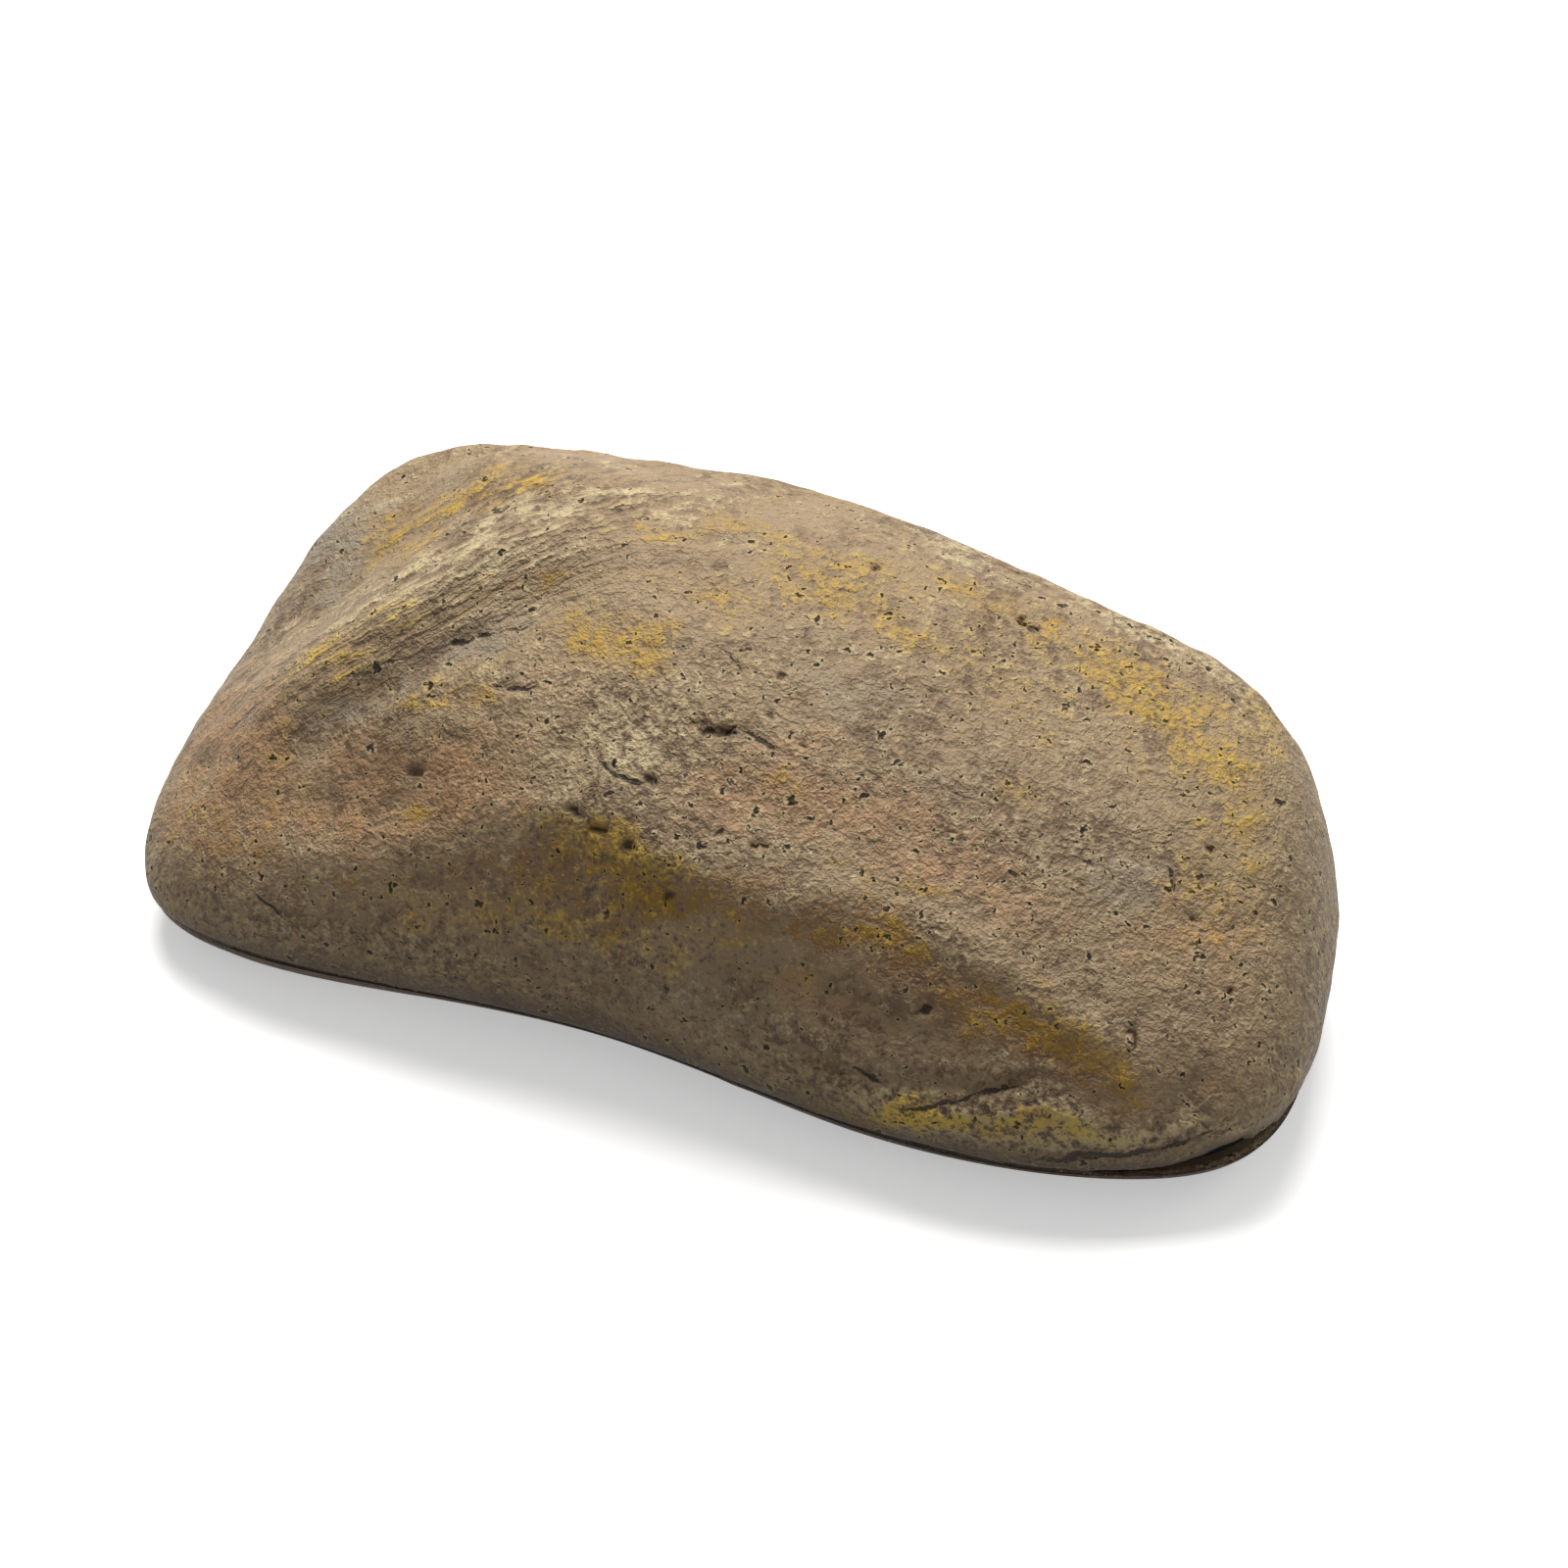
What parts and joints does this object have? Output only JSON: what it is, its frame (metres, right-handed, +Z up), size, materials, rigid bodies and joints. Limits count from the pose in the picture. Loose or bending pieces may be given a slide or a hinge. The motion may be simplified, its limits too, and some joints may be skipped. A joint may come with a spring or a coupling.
{
  "type": "hide a key rock",
  "caption": "Hollow stone-look rock on a base slab, with a key box inside that opens through the underside under a sliding cover.",
  "frame": {"origin": "centre of the rock's outline seen from above, on the surface it stands on", "axes": "+Z up; +X along the rock's long axis, towards the rounder end that is on the right in the picture; +Y to the back"},
  "size_m": [0.1414, 0.0767, 0.048],
  "materials": {
    "cast_rock": "matt painted cast resin, stone grain",
    "seal_rubber": "dull black",
    "box_plastic": "moulded, fine grain",
    "gasket_foam": "closed-cell foam",
    "frame_plastic": "moulded, fine grain",
    "cover_plastic": "moulded, fine grain",
    "screw_steel": "zinc plated"
  },
  "bodies": {
    "rock": {"rock_shell": "cast_rock", "base_slab": "cast_rock", "base_seal": "seal_rubber", "key_box": "box_plastic", "box_gasket": "gasket_foam", "key_pad": "gasket_foam", "slide_frame": "frame_plastic", "base_screw_front_left": "screw_steel", "base_screw_front_right": "screw_steel", "base_screw_back_right": "screw_steel", "base_screw_back_left": "screw_steel", "frame_screw_left": "screw_steel", "frame_screw_right": "screw_steel"},
    "cover": {"slide_cover": "cover_plastic"}
  },
  "joints": [
    {"name": "cover_slide", "type": "slide", "parent": "rock", "child": "cover", "axis": [-1, 0, 0], "range_m": [0, 0.0385]}
  ]
}
